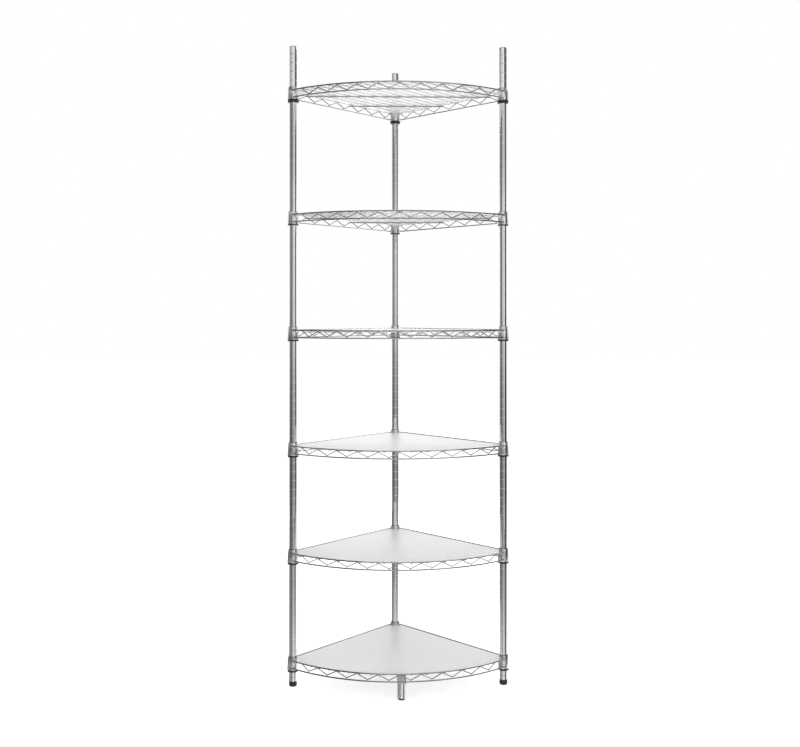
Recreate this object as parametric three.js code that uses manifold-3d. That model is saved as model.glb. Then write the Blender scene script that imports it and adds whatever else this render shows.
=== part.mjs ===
// Corner shelf unit: six welded wire shelves clipped to three round posts.
// Millimetres, +Z up. The back post stands in the corner of the room, towards +Y.
// The two straight sides of each shelf run along the walls and the bowed front faces -Y.
// The origin is on the floor, below the middle of the unit.
import * as THREE from 'three';
import { mergeVertices } from 'three/addons/utils/BufferGeometryUtils.js';
import Module from 'manifold-3d';

const wasm = await Module();
wasm.setup();

// Clearance between neighbouring pieces, and the overrun of every cut.
const GAP = 0.3;
const CUT_OVERRUN = 1;

// Posts: tube sections that screw together, with shelf stations at an even pitch.
const POST_SPACING = 426;
const POST_DIAMETER = 22;
const POST_WALL = 1.2;
const POST_SECTION_LENGTH = 457.2;
const POST_SECTIONS = 4;
const STATIONS_PER_SECTION = 18;
const TOP_SECTION_TRIM = 17.4;
const JOINT_PLUG_LENGTH = 40;
const FOOT_INSERT_LENGTH = 14;

// Caps on the posts.
const CAP_PLUG_DEPTH = 8;
const CAP_RIM_HEIGHT = 0.9;
const CAP_SHOULDER_HEIGHT = 2.6;
const CAP_CROWN_HEIGHT = 2.9;
const CAP_SHOULDER_SHARE = 0.7;

// Levelling feet of the posts and the smaller glide of the front leg.
const FOOT_DIAMETER = 22.6;
const FOOT_HEIGHT = 14;
const FOOT_CHAMFER = 1.5;
const STEM_DIAMETER = 8;
const STEM_LENGTH = 26;
const GLIDE_DIAMETER = 19;
const GLIDE_HEIGHT = 4.5;

// Shelf stations, counted in pitches above the bottom shelf.
const BOTTOM_SHELF_HEIGHT = 48;
const SHELF_STATIONS = [0, 12, 24, 37, 50, 64];

// Tapered corner collars and the split sleeves inside them.
const COLLAR_HEIGHT = 36;
const COLLAR_WALL = 1.5;
const SLEEVE_TOP_WALL = 1.1;
const SLEEVE_BOTTOM_WALL = 3.1;
const SLEEVE_RING_HEIGHT = 6.3;
const SLEEVE_RISE = 0.6;
const SLEEVE_SLIT = 1.2;

// Wires of a shelf. Heights are measured from the lower edge of the collars.
const TOP_RAIL_HEIGHT = 26.5;
const RAIL_DROP = 21;
const TOP_RAIL_WIRE = 4.4;
const BOTTOM_RAIL_WIRE = 4;
const ZIGZAG_WIRE = 3;
const WELD_DEPTH = 1;
const RAIL_INSET = 0.75;
const BOW_DEPTH = 120;
const BOW_ZIGZAG_START = 36;
const BOW_WAVES = 10;
const SIDE_ZIGZAG_START = 8;
const SIDE_WAVES = 7;
const MAT_WIRE = 2.8;
const MAT_DROP = 1.6;
const MAT_PITCH = 27;
const MAT_EDGE_CLEARANCE = 5.8;
const SUPPORT_WIRE = 3.6;
const SUPPORT_ZIGZAG_LEGS = [6, 12];

// Plastic liners that lie on the mats, between the rails.
const LINER_THICKNESS = 1.5;
const LINER_CLEARANCE = 0.8;
const LINER_BOW_STEPS = 10;
const LINER_NOTCH_STEPS = 5;

// Front leg, hooked to the middle of the bottom shelf's bow.
const LEG_OFFSET = 5;
const BRACKET_WIDTH = 29;
const BRACKET_THICKNESS = 2.5;

const ROUND_SIDES = 10;
const QUARTER_TURN = Math.PI / 2;
const HALF_TURN = Math.PI;
const FULL_TURN = 2 * Math.PI;

const chrome = { color: 0xd3d6d9, roughness: 0.12, metalness: 1 };
const blackPlastic = { color: 0x151515, roughness: 0.45, metalness: 0 };
const linerPlastic = { color: 0xe4e5e7, roughness: 0.35, metalness: 0 };

// Radii that follow from the sizes above.
const postRadius = POST_DIAMETER / 2;
const postBoreRadius = postRadius - POST_WALL;
const stemRadius = STEM_DIAMETER / 2;
const sleeveInnerRadius = postRadius + GAP;
const collarTopBore = sleeveInnerRadius + SLEEVE_TOP_WALL + GAP;
const collarBottomBore = sleeveInnerRadius + SLEEVE_BOTTOM_WALL + GAP;
const collarTopRadius = collarTopBore + COLLAR_WALL;
const collarBottomRadius = collarBottomBore + COLLAR_WALL;

// Heights that follow from the sizes above.
const stationPitch = POST_SECTION_LENGTH / STATIONS_PER_SECTION;
const postBottom = FOOT_HEIGHT + GAP;
const postTop = postBottom + POST_SECTIONS * POST_SECTION_LENGTH - TOP_SECTION_TRIM;
const bottomRailHeight = TOP_RAIL_HEIGHT - RAIL_DROP;

// Plan of the unit: the middle of the line between the side posts is (0, 0).
const halfChord = POST_SPACING / Math.SQRT2;
const posts = {
  left: new THREE.Vector3(-halfChord, 0, 0),
  right: new THREE.Vector3(halfChord, 0, 0),
  back: new THREE.Vector3(0, halfChord, 0),
};

// The rails pass outside the post centres, just inside the collar's outer face.
const railOffset = collarTopRadius - TOP_RAIL_WIRE / 2 - RAIL_INSET;
const bowRise = BOW_DEPTH - railOffset;
const bowCentreY = (halfChord * halfChord - bowRise * bowRise) / (2 * bowRise);
const bowRadius = bowCentreY + BOW_DEPTH;
const bowHalfAngle = Math.atan2(halfChord, bowCentreY);
const bowHalfPitchAngle = (bowHalfAngle - BOW_ZIGZAG_START / bowRadius) / BOW_WAVES;
const bowInnerRadius = bowRadius * Math.cos(bowHalfPitchAngle) - TOP_RAIL_WIRE / 2;
const sideHalfPitch = (POST_SPACING - SIDE_ZIGZAG_START) / (2 * SIDE_WAVES);

// The mat lies below the rails' tops, so that the rails stand proud of the liner on it.
const matTopHeight = TOP_RAIL_HEIGHT - MAT_DROP;

const upwards = () => new THREE.Vector3(0, 0, 1);
const downwards = () => new THREE.Vector3(0, 0, -1);
const bowPoint = (angle, height, radius = bowRadius) =>
  new THREE.Vector3(radius * Math.sin(angle), bowCentreY - radius * Math.cos(angle), height);
const bowOutwards = (point) => new THREE.Vector3(point.x, point.y - bowCentreY, 0).normalize();
const sideOutwards = (side) => new THREE.Vector3(side, 1, 0).normalize();

// A path of straight legs. Its cross-sections are mitred at the corners, and one side
// of the section always faces along the vector that sideways() gives.
class WirePath extends THREE.Curve {
  constructor(corners, sideways) {
    super();
    this.corners = corners;
    this.sideways = sideways;
  }

  getPoint(share, target = new THREE.Vector3()) {
    const place = share * (this.corners.length - 1);
    const leg = Math.min(Math.floor(place), this.corners.length - 2);
    return target.lerpVectors(this.corners[leg], this.corners[leg + 1], place - leg);
  }

  getPointAt(share, target) {
    return this.getPoint(share, target);
  }

  computeFrenetFrames(steps) {
    const frames = { tangents: [], normals: [], binormals: [] };
    for (let i = 0; i <= steps; i++) {
      const here = this.corners[i];
      const before = new THREE.Vector3().subVectors(here, this.corners[Math.max(i - 1, 0)]).normalize();
      const after = new THREE.Vector3().subVectors(this.corners[Math.min(i + 1, steps)], here).normalize();
      const tangent = before.clone().add(after).normalize();
      const side = this.sideways(here);
      side.addScaledVector(tangent, -side.dot(tangent)).normalize();
      const mitre = 1 / Math.max(tangent.dot(before), tangent.dot(after));
      frames.tangents.push(tangent);
      frames.normals.push(side);
      frames.binormals.push(new THREE.Vector3().crossVectors(tangent, side).multiplyScalar(mitre));
    }
    return frames;
  }
}

// Turns a closed geometry into a solid: shared corners are merged and empty faces dropped.
function solidOf(geometry) {
  const bare = geometry.clone();
  bare.deleteAttribute('normal');
  bare.deleteAttribute('uv');
  const merged = mergeVertices(bare);
  const corners = merged.index.array;
  const faces = [];
  for (let i = 0; i < corners.length; i += 3) {
    const [a, b, c] = corners.slice(i, i + 3);
    if (a !== b && b !== c && c !== a) {
      faces.push(a, b, c);
    }
  }
  return new wasm.Manifold(new wasm.Mesh({
    numProp: 3,
    vertProperties: new Float32Array(merged.attributes.position.array),
    triVerts: new Uint32Array(faces),
  }));
}

function geometryOf(solid) {
  const mesh = solid.getMesh();
  const geometry = new THREE.BufferGeometry();
  geometry.setAttribute('position', new THREE.BufferAttribute(mesh.vertProperties, 3));
  geometry.setIndex(new THREE.BufferAttribute(mesh.triVerts, 1));
  geometry.computeVertexNormals();
  return geometry;
}

// Turns a profile about the vertical axis. Its points are [radius, height] and run
// upwards on the outer side.
function turned(profile) {
  const points = profile.map(([radius, height]) => new THREE.Vector2(radius, height));
  return new THREE.LatheGeometry(points, ROUND_SIDES).rotateX(QUARTER_TURN);
}

// Sections of the round wires in few faces: square for the rails and the support wires,
// and an equal-sided wedge, whose edge points sideways, for the finer wires.
function squareSection(width) {
  const half = width / 2;
  return new THREE.Shape([
    new THREE.Vector2(half, half),
    new THREE.Vector2(-half, half),
    new THREE.Vector2(-half, -half),
    new THREE.Vector2(half, -half),
  ]);
}

const wedgeHalfBase = (width) => width * Math.tan(Math.PI / 6);

function wedgeSection(width) {
  const half = width / 2;
  const halfBase = wedgeHalfBase(width);
  return new THREE.Shape([
    new THREE.Vector2(half, 0),
    new THREE.Vector2(-half, halfBase),
    new THREE.Vector2(-half, -halfBase),
  ]);
}

// A wire along straight legs between the given corners.
function wire(corners, sideways, section) {
  const path = new WirePath(corners, sideways);
  return solidOf(new THREE.ExtrudeGeometry(section, { steps: corners.length - 1, extrudePath: path }));
}

// The bends of a zigzag stop short of the rails' centres, where they are welded on.
function bendHeights(halfPitch) {
  const slope = Math.atan2(RAIL_DROP, halfPitch);
  const bendReach = wedgeHalfBase(ZIGZAG_WIRE) / Math.cos(slope) - WELD_DEPTH;
  return {
    top: TOP_RAIL_HEIGHT - TOP_RAIL_WIRE / 2 - bendReach,
    bottom: bottomRailHeight + BOTTOM_RAIL_WIRE / 2 + bendReach,
  };
}

// The first bend is at the top rail, and bend() gives a point from its number and height.
function zigzag(waves, halfPitch, bend, sideways) {
  const heights = bendHeights(halfPitch);
  const corners = [];
  for (let i = 0; i <= 2 * waves; i++) {
    corners.push(bend(i, i % 2 === 0 ? heights.top : heights.bottom));
  }
  return wire(corners, sideways, wedgeSection(ZIGZAG_WIRE));
}

// Bowed front: the rails have their corners half a pitch away from the bends on them.
function bowTruss() {
  const firstBend = -BOW_WAVES * bowHalfPitchAngle;
  const bendRadius = bowRadius * Math.cos(bowHalfPitchAngle);
  const rail = (height, width, firstCorner, corners) => {
    const points = [bowPoint(-bowHalfAngle, height)];
    for (let i = 0; i < corners; i++) {
      points.push(bowPoint(firstCorner + i * 2 * bowHalfPitchAngle, height));
    }
    points.push(bowPoint(bowHalfAngle, height));
    return wire(points, upwards, squareSection(width));
  };
  const bend = (i, height) => bowPoint(firstBend + i * bowHalfPitchAngle, height, bendRadius);
  return rail(TOP_RAIL_HEIGHT, TOP_RAIL_WIRE, firstBend + bowHalfPitchAngle, BOW_WAVES)
    .add(rail(bottomRailHeight, BOTTOM_RAIL_WIRE, firstBend, BOW_WAVES + 1))
    .add(zigzag(BOW_WAVES, bowRadius * bowHalfPitchAngle, bend, bowOutwards));
}

// A point in the middle of a straight side, at a distance from the back post.
function sidePoint(side, distance, height) {
  const along = new THREE.Vector3(side, -1, 0).normalize();
  return posts.back.clone()
    .addScaledVector(along, distance)
    .addScaledVector(sideOutwards(side), railOffset)
    .setZ(height);
}

// Straight side along a wall, from the back post to the post on the given side.
function sideTruss(side) {
  const rail = (height, width) =>
    wire([sidePoint(side, 0, height), sidePoint(side, POST_SPACING, height)], upwards, squareSection(width));
  const bend = (i, height) => sidePoint(side, SIDE_ZIGZAG_START + i * sideHalfPitch, height);
  return rail(TOP_RAIL_HEIGHT, TOP_RAIL_WIRE)
    .add(rail(bottomRailHeight, BOTTOM_RAIL_WIRE))
    .add(zigzag(SIDE_WAVES, sideHalfPitch, bend, () => sideOutwards(side)));
}

// Mat wires run parallel to the left side, above two support wires that cross the shelf.
// A support wire ends on a falling leg of both side zigzags, where that leg is as low as it.
function mat() {
  const along = new THREE.Vector3(1, 1, 0).normalize();
  const across = new THREE.Vector3(1, -1, 0).normalize();
  const wireHeight = matTopHeight - MAT_WIRE / 2;
  const supportHeight = matTopHeight - MAT_WIRE - GAP - SUPPORT_WIRE / 2;
  const heights = bendHeights(sideHalfPitch);
  const supportShare = (heights.top - supportHeight) / (heights.top - heights.bottom);
  const edge = collarBottomRadius + MAT_EDGE_CLEARANCE;
  const count = Math.floor((POST_SPACING - 2 * edge) / MAT_PITCH) + 1;
  const wires = [];
  for (let i = 0; i < count; i++) {
    const start = posts.left.clone().addScaledVector(across, edge + i * MAT_PITCH).setZ(wireHeight);
    const fromBowCentre = new THREE.Vector3(start.x, start.y - bowCentreY, 0);
    const reach = fromBowCentre.dot(along);
    const toBow = -reach - Math.sqrt(reach * reach - fromBowCentre.lengthSq() + bowRadius * bowRadius);
    const front = start.clone().addScaledVector(along, toBow);
    const back = start.clone().addScaledVector(along, POST_SPACING + railOffset);
    wires.push(wire([front, back], downwards, wedgeSection(MAT_WIRE)));
  }
  for (const leg of SUPPORT_ZIGZAG_LEGS) {
    const distance = SIDE_ZIGZAG_START + (leg + supportShare) * sideHalfPitch;
    const ends = [-1, 1].map((side) => sidePoint(side, distance, supportHeight));
    wires.push(wire(ends, upwards, squareSection(SUPPORT_WIRE)));
  }
  return wires;
}

function collarCone(bottomRadius, topRadius, overrun) {
  const widening = (bottomRadius - topRadius) * (overrun / COLLAR_HEIGHT);
  return solidOf(turned([
    [0, -overrun],
    [bottomRadius + widening, -overrun],
    [topRadius - widening, COLLAR_HEIGHT + overrun],
    [0, COLLAR_HEIGHT + overrun],
  ]));
}

// One welded shelf, standing on the lower edge of its collars.
function shelfGeometry() {
  let shelf = bowTruss().add(sideTruss(-1)).add(sideTruss(1));
  for (const piece of mat()) {
    shelf = shelf.add(piece);
  }
  const collar = collarCone(collarBottomRadius, collarTopRadius, 0);
  const bore = collarCone(collarBottomBore, collarTopBore, CUT_OVERRUN);
  for (const post of Object.values(posts)) {
    shelf = shelf.add(collar.translate(post.toArray()));
  }
  for (const post of Object.values(posts)) {
    shelf = shelf.subtract(bore.translate(post.toArray()));
  }
  return geometryOf(shelf);
}

// Split sleeve: its cone fills the collar and its ring shows below it.
function sleeveGeometry() {
  const top = COLLAR_HEIGHT + SLEEVE_RISE;
  const widening = (SLEEVE_BOTTOM_WALL - SLEEVE_TOP_WALL) / COLLAR_HEIGHT;
  const bottomRadius = sleeveInnerRadius + SLEEVE_BOTTOM_WALL + widening * SLEEVE_RING_HEIGHT;
  const topRadius = sleeveInnerRadius + SLEEVE_TOP_WALL - widening * SLEEVE_RISE;
  const body = solidOf(turned([
    [sleeveInnerRadius, -SLEEVE_RING_HEIGHT],
    [bottomRadius, -SLEEVE_RING_HEIGHT],
    [topRadius, top],
    [sleeveInnerRadius, top],
    [sleeveInnerRadius, -SLEEVE_RING_HEIGHT],
  ]));
  const length = SLEEVE_RING_HEIGHT + top + 2 * CUT_OVERRUN;
  const slit = new THREE.BoxGeometry(bottomRadius + CUT_OVERRUN, SLEEVE_SLIT, length)
    .translate((bottomRadius + CUT_OVERRUN) / 2, 0, length / 2 - SLEEVE_RING_HEIGHT - CUT_OVERRUN);
  return geometryOf(body.subtract(solidOf(slit)));
}

// Points of an arc in plan, from one angle to another.
function arcPoints(centreX, centreY, radius, from, to, steps) {
  const points = [];
  for (let i = 0; i <= steps; i++) {
    const angle = from + (to - from) * (i / steps);
    points.push(new THREE.Vector2(centreX + radius * Math.cos(angle), centreY + radius * Math.sin(angle)));
  }
  return points;
}

// A liner fits between the rails, and is notched round the collars.
function linerGeometry() {
  const notchRadius = collarBottomRadius + LINER_CLEARANCE;
  const edgeAngle = Math.asin((railOffset - TOP_RAIL_WIRE / 2 - LINER_CLEARANCE) / notchRadius);
  const linerRadius = bowInnerRadius - LINER_CLEARANCE;
  const postDistance = bowRadius - railOffset;
  const reach = linerRadius ** 2 + postDistance ** 2 - notchRadius ** 2;
  const notchAngle = Math.acos(reach / (2 * linerRadius * postDistance));
  const bowEnd = bowHalfAngle - notchAngle;
  const bowCorner = bowPoint(bowEnd, 0, linerRadius);
  const bowEdgeAngle = Math.atan2(bowCorner.y - posts.right.y, bowCorner.x - posts.right.x);
  const sideEdgeAngle = HALF_TURN - QUARTER_TURN / 2 - edgeAngle;
  const backEdgeAngle = edgeAngle - QUARTER_TURN / 2;
  const notch = (post, from, to) => arcPoints(post.x, post.y, notchRadius, from, to, LINER_NOTCH_STEPS);
  const outline = [
    ...arcPoints(0, bowCentreY, linerRadius, -QUARTER_TURN - bowEnd, bowEnd - QUARTER_TURN, LINER_BOW_STEPS),
    ...notch(posts.right, bowEdgeAngle + FULL_TURN, sideEdgeAngle).slice(1),
    ...notch(posts.back, backEdgeAngle, -HALF_TURN - backEdgeAngle),
    ...notch(posts.left, HALF_TURN - sideEdgeAngle, -HALF_TURN - bowEdgeAngle).slice(0, -1),
  ];
  return new THREE.ExtrudeGeometry(new THREE.Shape(outline), { depth: LINER_THICKNESS, bevelEnabled: false });
}

// A plain tube section of a post.
function tubeProfile(bottom, top) {
  return [
    [postBoreRadius, bottom],
    [postRadius, bottom],
    [postRadius, top],
    [postBoreRadius, top],
    [postBoreRadius, bottom],
  ];
}

// A tube with a threaded insert in its lower end, which takes the stem of a foot.
function footedTubeProfile(bottom, top) {
  const insertBore = stemRadius + GAP;
  return [
    [insertBore, bottom],
    [postRadius, bottom],
    [postRadius, top],
    [postBoreRadius, top],
    [postBoreRadius, bottom + FOOT_INSERT_LENGTH],
    [insertBore, bottom + FOOT_INSERT_LENGTH],
    [insertBore, bottom],
  ];
}

// Crowned cap, from the end of the post upwards, with a plug inside the tube.
function capGeometry() {
  const plugRadius = postBoreRadius - GAP;
  return turned([
    [0, -CAP_PLUG_DEPTH],
    [plugRadius, -CAP_PLUG_DEPTH],
    [plugRadius, GAP],
    [postRadius, GAP],
    [postRadius, CAP_RIM_HEIGHT],
    [postRadius * CAP_SHOULDER_SHARE, CAP_SHOULDER_HEIGHT],
    [0, CAP_CROWN_HEIGHT],
  ]);
}

// Foot with a flat chamfered pad on the floor and a stem that screws into the tube above.
function footGeometry(diameter, height) {
  const radius = diameter / 2;
  return turned([
    [0, 0],
    [radius - FOOT_CHAMFER, 0],
    [radius, FOOT_CHAMFER],
    [radius, height],
    [stemRadius, height],
    [stemRadius, height + STEM_LENGTH],
    [0, height + STEM_LENGTH],
  ]);
}

function jointPlugGeometry() {
  const radius = postBoreRadius - GAP;
  const half = JOINT_PLUG_LENGTH / 2;
  return turned([
    [0, -half],
    [radius, -half],
    [radius, half],
    [0, half],
  ]);
}

// Short tube with a bent bracket behind the bow: its lip carries the bottom rail and its
// top flange lies below the mat. The leg's own axis is at (0, 0).
function frontLegGeometry() {
  const bottom = GLIDE_HEIGHT + GAP;
  const railCentre = BOTTOM_SHELF_HEIGHT + bottomRailHeight;
  const flangeTop = BOTTOM_SHELF_HEIGHT + matTopHeight - MAT_WIRE - GAP;
  const lipTop = railCentre - BOTTOM_RAIL_WIRE / 2 - GAP;
  const lipBottom = lipTop - BRACKET_THICKNESS;
  const plateBack = -postRadius + WELD_DEPTH / 2;
  const plateFront = plateBack - BRACKET_THICKNESS;
  const lipFront = plateFront - GAP - BOTTOM_RAIL_WIRE;
  const outline = new THREE.Shape([
    new THREE.Vector2(lipFront, lipBottom),
    new THREE.Vector2(plateBack, lipBottom),
    new THREE.Vector2(plateBack, flangeTop - BRACKET_THICKNESS),
    new THREE.Vector2(postRadius, flangeTop - BRACKET_THICKNESS),
    new THREE.Vector2(postRadius, flangeTop),
    new THREE.Vector2(plateFront, flangeTop),
    new THREE.Vector2(plateFront, lipTop),
    new THREE.Vector2(lipFront, lipTop),
  ]);
  // The outline is drawn in (y, z), so the extrusion along +Z turns to run along +X.
  const bracket = new THREE.ExtrudeGeometry(outline, { depth: BRACKET_WIDTH, bevelEnabled: false })
    .translate(0, 0, -BRACKET_WIDTH / 2)
    .rotateX(QUARTER_TURN)
    .rotateZ(QUARTER_TURN);
  const tube = turned(footedTubeProfile(bottom, flangeTop - BRACKET_THICKNESS / 2));
  return geometryOf(solidOf(tube).add(solidOf(bracket)));
}

// The bracket's plate stays clear of the inner face of the bowed rails across its width.
const legFarEdge = LEG_OFFSET + BRACKET_WIDTH / 2;
const bowInnerY = bowCentreY - Math.sqrt(bowInnerRadius ** 2 - legFarEdge ** 2);
const legY = bowInnerY + GAP + BRACKET_THICKNESS + postRadius - WELD_DEPTH / 2;

const unit = new THREE.Group();

function place(name, geometry, finish, x = 0, y = 0, z = 0) {
  const mesh = new THREE.Mesh(geometry, new THREE.MeshStandardMaterial(finish));
  mesh.name = name;
  mesh.position.set(x, y, z);
  unit.add(mesh);
}

function addPost(name, at) {
  for (let i = 0; i < POST_SECTIONS; i++) {
    const bottom = postBottom + i * POST_SECTION_LENGTH;
    const isTop = i === POST_SECTIONS - 1;
    const top = isTop ? postTop : bottom + POST_SECTION_LENGTH - GAP;
    const profile = i === 0 ? footedTubeProfile(bottom, top) : tubeProfile(bottom, top);
    place(`post_${name}_section_${i + 1}`, turned(profile), chrome, at.x, at.y);
    if (!isTop) {
      place(`joint_plug_${name}_${i + 1}`, jointPlugGeometry(), chrome, at.x, at.y, top + GAP / 2);
    }
  }
  place(`post_cap_${name}`, capGeometry(), chrome, at.x, at.y, postTop);
  place(`levelling_foot_${name}`, footGeometry(FOOT_DIAMETER, FOOT_HEIGHT), blackPlastic, at.x, at.y);
}

for (const [name, at] of Object.entries(posts)) {
  addPost(name, at);
}

const shelfShape = shelfGeometry();
const sleeveShape = sleeveGeometry();
const linerShape = linerGeometry();
const linerHeight = matTopHeight + GAP;
SHELF_STATIONS.forEach((station, i) => {
  const height = BOTTOM_SHELF_HEIGHT + station * stationPitch;
  place(`wire_shelf_${i + 1}`, shelfShape, chrome, 0, 0, height);
  place(`shelf_liner_${i + 1}`, linerShape, linerPlastic, 0, 0, height + linerHeight);
  for (const [name, at] of Object.entries(posts)) {
    place(`sleeve_${name}_${i + 1}`, sleeveShape, blackPlastic, at.x, at.y, height);
  }
});

place('front_leg', frontLegGeometry(), chrome, LEG_OFFSET, legY);
place('front_leg_glide', footGeometry(GLIDE_DIAMETER, GLIDE_HEIGHT), blackPlastic, LEG_OFFSET, legY);

// The whole unit is moved so that the middle of its plan is at the origin.
const middle = new THREE.Box3().setFromObject(unit, true).getCenter(new THREE.Vector3());
unit.position.set(-middle.x, -middle.y, 0);

export default unit;
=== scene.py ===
"""Corner shelf unit: six wire shelves on three grooved posts, in a plain white studio."""

import math

import bmesh
import bpy
from mathutils import Matrix, Vector


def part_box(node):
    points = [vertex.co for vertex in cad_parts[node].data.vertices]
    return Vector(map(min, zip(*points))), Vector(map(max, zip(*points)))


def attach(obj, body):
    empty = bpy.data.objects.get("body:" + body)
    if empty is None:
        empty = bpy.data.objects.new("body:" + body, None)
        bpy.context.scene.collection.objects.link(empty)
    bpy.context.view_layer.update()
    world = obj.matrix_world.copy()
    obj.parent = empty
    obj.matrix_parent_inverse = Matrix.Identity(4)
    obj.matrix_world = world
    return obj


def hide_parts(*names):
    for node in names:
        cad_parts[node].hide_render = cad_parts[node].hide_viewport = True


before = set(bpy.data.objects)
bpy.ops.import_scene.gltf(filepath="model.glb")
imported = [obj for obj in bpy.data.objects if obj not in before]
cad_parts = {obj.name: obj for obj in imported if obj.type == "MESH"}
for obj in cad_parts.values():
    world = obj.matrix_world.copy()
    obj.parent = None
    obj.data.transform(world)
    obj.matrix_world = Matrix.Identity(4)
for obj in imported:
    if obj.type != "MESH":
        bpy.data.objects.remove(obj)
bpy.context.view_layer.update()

MM = 0.001
BODY = "frame"

# Sizes of the solids, in millimetres. Heights on a shelf count from the lower edge of its collars.
POST_RADIUS = 11
POST_WALL = 1.2
POST_SECTIONS = 4
JOINT_GAP = 0.3
INSERT_LENGTH = 14
CAP_PLUG_LENGTH = 8
STEM_RADIUS = 4
STEM_LENGTH = 26
FOOT_RADIUS = 11.3
FOOT_HEIGHT = 14
GLIDE_RADIUS = 9.5
GLIDE_HEIGHT = 4.5
SLEEVE_RING = 6.3
SLEEVE_RISE = 0.6
COLLAR_HEIGHT = 36
COLLAR_TOP_RADIUS = 14.2
COLLAR_BOTTOM_RADIUS = 16.2
COLLAR_WALL = 1.5
TOP_RAIL = 26.5
TOP_RAIL_RADIUS = 2.2
BOTTOM_RAIL = 5.5
BOTTOM_RAIL_RADIUS = 2
RAIL_OFFSET = 11.25
SNAKE_RADIUS = 1.5
MAT_RADIUS = 1.4
MAT_DROP = 1.6
MAT_HEIGHT = TOP_RAIL - MAT_DROP - MAT_RADIUS
MAT_PITCH = 27
MAT_MARGIN = 5.8
MAT_EDGE = COLLAR_BOTTOM_RADIUS + MAT_MARGIN
SUPPORT_RADIUS = 1.8
SUPPORT_LINES = (44.9, 171.6)
LINER_THICKNESS = 1.5
LINER_CLEARANCE = 0.8
LEG_RADIUS = 11
BRACKET_THICKNESS = 2.5

# Plan of the posts and of the bowed front, whose arc passes outside the side posts.
POST_SPACING = 426
HALF_CHORD = POST_SPACING / math.sqrt(2)
BOW_DEPTH = 120
BOW_RISE = BOW_DEPTH - RAIL_OFFSET
BOW_CENTRE_Y = (HALF_CHORD**2 - BOW_RISE**2) / (2 * BOW_RISE)
BOW_RADIUS = BOW_CENTRE_Y + BOW_DEPTH
BOW_HALF_ANGLE = math.atan2(HALF_CHORD, BOW_CENTRE_Y)
BOW_WAVES = 10
BOW_SNAKE_START = 36
BOW_HALF_PITCH = (BOW_HALF_ANGLE - BOW_SNAKE_START / BOW_RADIUS) / BOW_WAVES
SIDE_WAVES = 7
SIDE_SNAKE_START = 8

# How far each shelf's collars reach below those of the solids, and how far the black rings show
# below the same level, from the lowest shelf to the highest.
COLLAR_SKIRTS = (0.6, 0.6, 0.7, 0.9, 1.3, -1.0)
RINGS_SHOWN = (6.2, 6.1, 5.9, 5.2, 4.0, 7.2)

# Depths of a ring groove in a post at shares of its half width, from the plain tube inwards.
GROOVE_WALL = ((0, 1.8), (0, 1.25), (0.05, 0.95), (0.2, 0.4))
GROOVE_HALF_WIDTH = 0.6
GROOVE_PITCH = 25.4
GROOVE_START = 12.7

# Rounded edges and other details that only show here, in millimetres, and the seam in radians.
TUBE_EASE = 0.4
CAP_RIM = 0.5
CAP_RISE = 2.4
CAP_UNDERCUT = 0.15
CAP_PLUG_EASE = 0.6
SOLE_EASE = 2.6
GLIDE_SOLE_EASE = 1.2
PAD_TOP_EASE = 0.3
STEM_EASE = 0.8
COLLAR_LIP = 0.5
SLEEVE_CLEARANCE = 0.1
SLEEVE_EASE = 0.3
RING_INSET = 0.5
RING_EASE = 0.5
RING_TOP_EASE = 0.15
SEAM_ANGLE = 0.04
BEND_RADIUS = 4.5
BEND_PEAK = 0.18 * BEND_RADIUS
SNAKE_SETBACK = 2.9
SNAKE_OVERLAP = 0.6
BEAD_RADIUS = 1.55
BEAD_SETBACK = 1.6
SUPPORT_WELD = 0.25
LINER_EASE = 0.35
LEG_NECK_RADIUS = 10.85
LEG_FLARE_LENGTH = 9
LEG_EASE = 0.5
LEG_RIM = 2
LEG_RUNOUT = 0.1
BRACKET_WIDTH = 25
BRACKET_BEND = 2.6
BRACKET_EASE = 0.4
BRACKET_WELD = 0.5

# Fineness of the meshes.
ROUND_STEPS = 40
DOME_STEPS = 12
SOLE_STEPS = 7
BOW_STEPS = 72
BEND_STEPS = 5
WIRE_RESOLUTION = 3
LINER_BOW_STEPS = 64
SIDE_NOTCH_STEPS = 14
BACK_NOTCH_STEPS = 16
MERGE_DISTANCE = 0.002
LEVEL_DISTANCE = 0.01
SHARP_DEGREES = 35

# The posts in plan. The unit's frame is moved along Y from the line between the side posts.
cap_low, cap_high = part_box("post_cap_left")
PLAN = Vector((0, (cap_low.y + cap_high.y) / 2 / MM, 0))
POSTS = {
    "left": Vector((-HALF_CHORD, 0, 0)),
    "right": Vector((HALF_CHORD, 0, 0)),
    "back": Vector((0, HALF_CHORD, 0)),
}


# Materials.
NOISE_START = 0.3
NOISE_END = 0.7
BUFFING_CELLS = 420
RIPPLE_HEIGHT = 0.0006
DULL_SHARE = 0.93


def new_material(name):
    material = bpy.data.materials.new(name)
    material.use_nodes = True
    tree = material.node_tree
    shader = next(node for node in tree.nodes if node.type == "BSDF_PRINCIPLED")
    return material, tree, shader


def object_noise(tree, cells, detail=2.0):
    """Noise that sits still on the object. Its scale counts cells per metre."""
    place = tree.nodes.new("ShaderNodeTexCoord")
    noise = tree.nodes.new("ShaderNodeTexNoise")
    noise.inputs["Scale"].default_value = cells
    noise.inputs["Detail"].default_value = detail
    tree.links.new(place.outputs["Object"], noise.inputs["Vector"])
    return noise.outputs["Fac"]


def ramp(tree, factor, low, high):
    """A colour or a grey level between two, along the middle part of a noise."""
    node = tree.nodes.new("ShaderNodeValToRGB")
    for element, place, value in zip(node.color_ramp.elements, (NOISE_START, NOISE_END), (low, high)):
        element.position = place
        element.color = (*value, 1) if isinstance(value, tuple) else (value, value, value, 1)
    tree.links.new(factor, node.inputs["Fac"])
    return node.outputs["Color"]


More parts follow.
